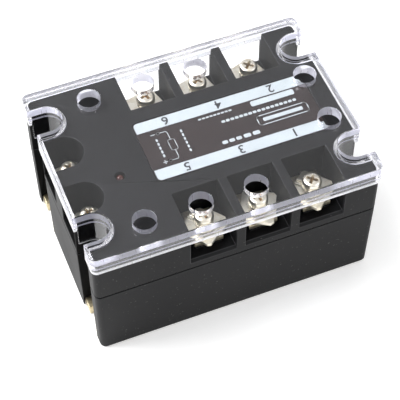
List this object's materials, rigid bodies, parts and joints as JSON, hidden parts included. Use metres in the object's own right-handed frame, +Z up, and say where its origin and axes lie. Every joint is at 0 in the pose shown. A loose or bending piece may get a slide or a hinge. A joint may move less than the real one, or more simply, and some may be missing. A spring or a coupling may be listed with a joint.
{
  "type": "solid state relay",
  "caption": "Solid state relay: split black case on a metal base plate, screw terminals in open pockets along both long sides and one end, a label, an indicator and a clear lift-off cover.",
  "frame": {"origin": "centre of the base plate's underside", "axes": "+X along the case away from the control terminals, +Z up out of the base plate, +Y to the left of +X"},
  "size_m": [0.105, 0.076, 0.056],
  "materials": {
    "case_plastic": "fine matte moulded black",
    "clear_plastic": "clear polished",
    "base_metal": "warm plated, satin",
    "bar_nickel": "nickel plated, satin",
    "clamp_nickel": "warm nickel plated",
    "washer_steel": "dark plated spring steel",
    "screw_nickel": "nickel plated, bright",
    "inner_screw_steel": "zinc plated",
    "label_film": "printed satin film",
    "led_epoxy": "tinted translucent, unlit",
    "circuit_board": "green solder mask",
    "component_black": "moulded black",
    "ceramic": "white, matte",
    "silicon": "dark polished",
    "potting_resin": "cast black resin"
  },
  "bodies": {
    "case": {"base_plate": "base_metal", "base_screw_1": "inner_screw_steel", "base_screw_2": "inner_screw_steel", "base_screw_3": "inner_screw_steel", "base_screw_4": "inner_screw_steel", "lower_housing": "case_plastic", "upper_housing": "case_plastic", "rating_label": "label_film", "power_bar_n1": "bar_nickel", "power_bar_n2": "bar_nickel", "power_bar_n3": "bar_nickel", "power_bar_f1": "bar_nickel", "power_bar_f2": "bar_nickel", "power_bar_f3": "bar_nickel", "control_bar_1": "bar_nickel", "control_bar_2": "bar_nickel", "control_board": "circuit_board", "board_screw_1": "inner_screw_steel", "board_screw_2": "inner_screw_steel", "optocoupler_1": "component_black", "optocoupler_2": "component_black", "optocoupler_3": "component_black", "status_led": "led_epoxy", "substrate_1": "ceramic", "substrate_2": "ceramic", "substrate_3": "ceramic", "thyristor_n1": "silicon", "thyristor_n2": "silicon", "thyristor_n3": "silicon", "thyristor_f1": "silicon", "thyristor_f2": "silicon", "thyristor_f3": "silicon", "potting_resin": "potting_resin"},
    "cover": {"clear_cover": "clear_plastic"},
    "power_plate_n1": {"power_clamp_n1": "clamp_nickel", "power_washer_n1": "washer_steel"},
    "power_screw_n1": {"power_screw_n1": "screw_nickel"},
    "power_plate_n2": {"power_clamp_n2": "clamp_nickel", "power_washer_n2": "washer_steel"},
    "power_screw_n2": {"power_screw_n2": "screw_nickel"},
    "power_plate_n3": {"power_clamp_n3": "clamp_nickel", "power_washer_n3": "washer_steel"},
    "power_screw_n3": {"power_screw_n3": "screw_nickel"},
    "power_plate_f1": {"power_clamp_f1": "clamp_nickel", "power_washer_f1": "washer_steel"},
    "power_screw_f1": {"power_screw_f1": "screw_nickel"},
    "power_plate_f2": {"power_clamp_f2": "clamp_nickel", "power_washer_f2": "washer_steel"},
    "power_screw_f2": {"power_screw_f2": "screw_nickel"},
    "power_plate_f3": {"power_clamp_f3": "clamp_nickel", "power_washer_f3": "washer_steel"},
    "power_screw_f3": {"power_screw_f3": "screw_nickel"},
    "control_plate_1": {"control_clamp_1": "clamp_nickel", "control_washer_1": "washer_steel"},
    "control_screw_1": {"control_screw_1": "screw_nickel"},
    "control_plate_2": {"control_clamp_2": "clamp_nickel", "control_washer_2": "washer_steel"},
    "control_screw_2": {"control_screw_2": "screw_nickel"}
  },
  "joints": [
    {"name": "cover_lift", "type": "slide", "parent": "case", "child": "cover", "axis": [0, 0, 1], "range_m": [0, 0.03]},
    {"name": "power_plate_rise_n1", "type": "slide", "parent": "case", "child": "power_plate_n1", "axis": [0, 0, 1], "range_m": [0, 0.003]},
    {"name": "power_screw_turn_n1", "type": "hinge", "parent": "power_plate_n1", "child": "power_screw_n1", "pos_m": [-0.0095, -0.0282, 0.0434], "axis": [0, 0, 1], "range_deg": [0, 1543]},
    {"name": "power_plate_rise_n2", "type": "slide", "parent": "case", "child": "power_plate_n2", "axis": [0, 0, 1], "range_m": [0, 0.003]},
    {"name": "power_screw_turn_n2", "type": "hinge", "parent": "power_plate_n2", "child": "power_screw_n2", "pos_m": [0.0105, -0.0282, 0.0434], "axis": [0, 0, 1], "range_deg": [0, 1543]},
    {"name": "power_plate_rise_n3", "type": "slide", "parent": "case", "child": "power_plate_n3", "axis": [0, 0, 1], "range_m": [0, 0.003]},
    {"name": "power_screw_turn_n3", "type": "hinge", "parent": "power_plate_n3", "child": "power_screw_n3", "pos_m": [0.0305, -0.0282, 0.0434], "axis": [0, 0, 1], "range_deg": [0, 1543]},
    {"name": "power_plate_rise_f1", "type": "slide", "parent": "case", "child": "power_plate_f1", "axis": [0, 0, 1], "range_m": [0, 0.003]},
    {"name": "power_screw_turn_f1", "type": "hinge", "parent": "power_plate_f1", "child": "power_screw_f1", "pos_m": [-0.0095, 0.0282, 0.0434], "axis": [0, 0, 1], "range_deg": [0, 1543]},
    {"name": "power_plate_rise_f2", "type": "slide", "parent": "case", "child": "power_plate_f2", "axis": [0, 0, 1], "range_m": [0, 0.003]},
    {"name": "power_screw_turn_f2", "type": "hinge", "parent": "power_plate_f2", "child": "power_screw_f2", "pos_m": [0.0105, 0.0282, 0.0434], "axis": [0, 0, 1], "range_deg": [0, 1543]},
    {"name": "power_plate_rise_f3", "type": "slide", "parent": "case", "child": "power_plate_f3", "axis": [0, 0, 1], "range_m": [0, 0.003]},
    {"name": "power_screw_turn_f3", "type": "hinge", "parent": "power_plate_f3", "child": "power_screw_f3", "pos_m": [0.0305, 0.0282, 0.0434], "axis": [0, 0, 1], "range_deg": [0, 1543]},
    {"name": "control_plate_rise_1", "type": "slide", "parent": "case", "child": "control_plate_1", "axis": [0, 0, 1], "range_m": [0, 0.0025]},
    {"name": "control_screw_turn_1", "type": "hinge", "parent": "control_plate_1", "child": "control_screw_1", "pos_m": [-0.0446, -0.0105, 0.0405], "axis": [0, 0, 1], "range_deg": [0, 1801]},
    {"name": "control_plate_rise_2", "type": "slide", "parent": "case", "child": "control_plate_2", "axis": [0, 0, 1], "range_m": [0, 0.0025]},
    {"name": "control_screw_turn_2", "type": "hinge", "parent": "control_plate_2", "child": "control_screw_2", "pos_m": [-0.0446, 0.0105, 0.0405], "axis": [0, 0, 1], "range_deg": [0, 1801]}
  ],
  "couplings": [
    {"joint": "power_screw_turn_n1", "follows": "power_plate_rise_n1", "rad_per_m": 8976},
    {"joint": "power_screw_turn_n2", "follows": "power_plate_rise_n2", "rad_per_m": 8976},
    {"joint": "power_screw_turn_n3", "follows": "power_plate_rise_n3", "rad_per_m": 8976},
    {"joint": "power_screw_turn_f1", "follows": "power_plate_rise_f1", "rad_per_m": 8976},
    {"joint": "power_screw_turn_f2", "follows": "power_plate_rise_f2", "rad_per_m": 8976},
    {"joint": "power_screw_turn_f3", "follows": "power_plate_rise_f3", "rad_per_m": 8976},
    {"joint": "control_screw_turn_1", "follows": "control_plate_rise_1", "rad_per_m": 12566},
    {"joint": "control_screw_turn_2", "follows": "control_plate_rise_2", "rad_per_m": 12566}
  ]
}
